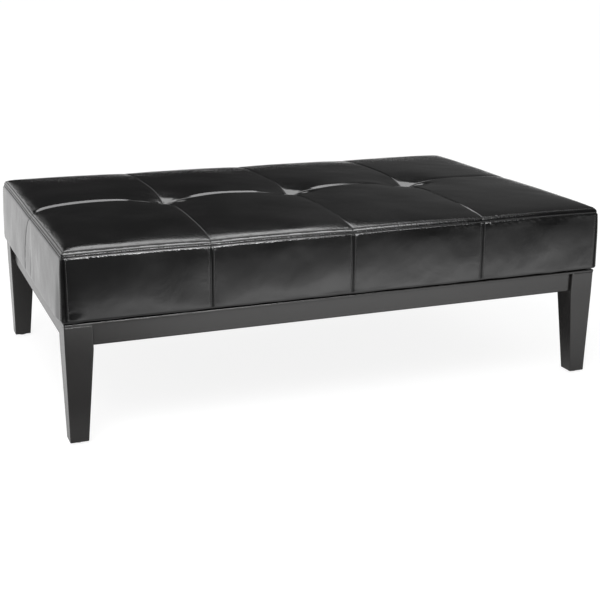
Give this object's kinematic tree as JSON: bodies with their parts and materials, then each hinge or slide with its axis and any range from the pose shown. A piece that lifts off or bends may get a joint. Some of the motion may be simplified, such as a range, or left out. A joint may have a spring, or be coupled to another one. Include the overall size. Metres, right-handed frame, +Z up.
{
  "type": "ottoman coffee table",
  "caption": "Low rectangular ottoman coffee table: a tufted, panelled leather cushion with topstitched seams on a black wooden base with tapered legs.",
  "frame": {"origin": "on the floor under the middle of the table", "axes": "+X along the table's length, +Y towards its back, +Z up"},
  "size_m": [1.31, 0.82, 0.4399],
  "materials": {
    "black_wood": "satin black paint",
    "bare_wood": "bare planed softwood",
    "plywood": "bare plywood",
    "glide_plastic": "matt",
    "zinc_steel": "zinc plated",
    "dust_cloth": "non-woven cloth",
    "webbing": "flat woven tape",
    "foam": "open-cell foam",
    "batting": "soft polyester fibre",
    "leather": "glossy black coated leather, lightly creased"
  },
  "bodies": {
    "root": {"leg_front_left": "black_wood", "leg_front_right": "black_wood", "leg_back_left": "black_wood", "leg_back_right": "black_wood", "apron_front": "black_wood", "apron_back": "black_wood", "apron_left": "black_wood", "apron_right": "black_wood", "cap_front": "black_wood", "cap_back": "black_wood", "cap_left": "black_wood", "cap_right": "black_wood", "corner_block_front_left": "bare_wood", "corner_block_front_right": "bare_wood", "corner_block_back_left": "bare_wood", "corner_block_back_right": "bare_wood", "rail_front": "bare_wood", "rail_back": "bare_wood", "rail_left": "bare_wood", "rail_right": "bare_wood", "cross_rails": "bare_wood", "strap_cleats": "bare_wood", "deck_board": "plywood", "foot_glides": "glide_plastic", "hanger_bolts": "zinc_steel", "bolt_washers": "zinc_steel", "bolt_nuts": "zinc_steel", "deck_screws": "zinc_steel", "dust_cover": "dust_cloth", "tuft_straps": "webbing", "foam_slab": "foam", "side_pad_front": "foam", "side_pad_back": "foam", "side_pad_left": "foam", "side_pad_right": "foam", "fibre_topper": "batting", "cover_side_front_1": "leather", "cover_side_front_2": "leather", "cover_side_front_3": "leather", "cover_side_front_4": "leather", "cover_side_back_1": "leather", "cover_side_back_2": "leather", "cover_side_back_3": "leather", "cover_side_back_4": "leather", "cover_side_left_front": "leather", "cover_side_left_back": "leather", "cover_side_right_front": "leather", "cover_side_right_back": "leather", "cover_top_front_1": "leather", "cover_top_front_2": "leather", "cover_top_front_3": "leather", "cover_top_front_4": "leather", "cover_top_back_1": "leather", "cover_top_back_2": "leather", "cover_top_back_3": "leather", "cover_top_back_4": "leather"}
  },
  "joints": []
}
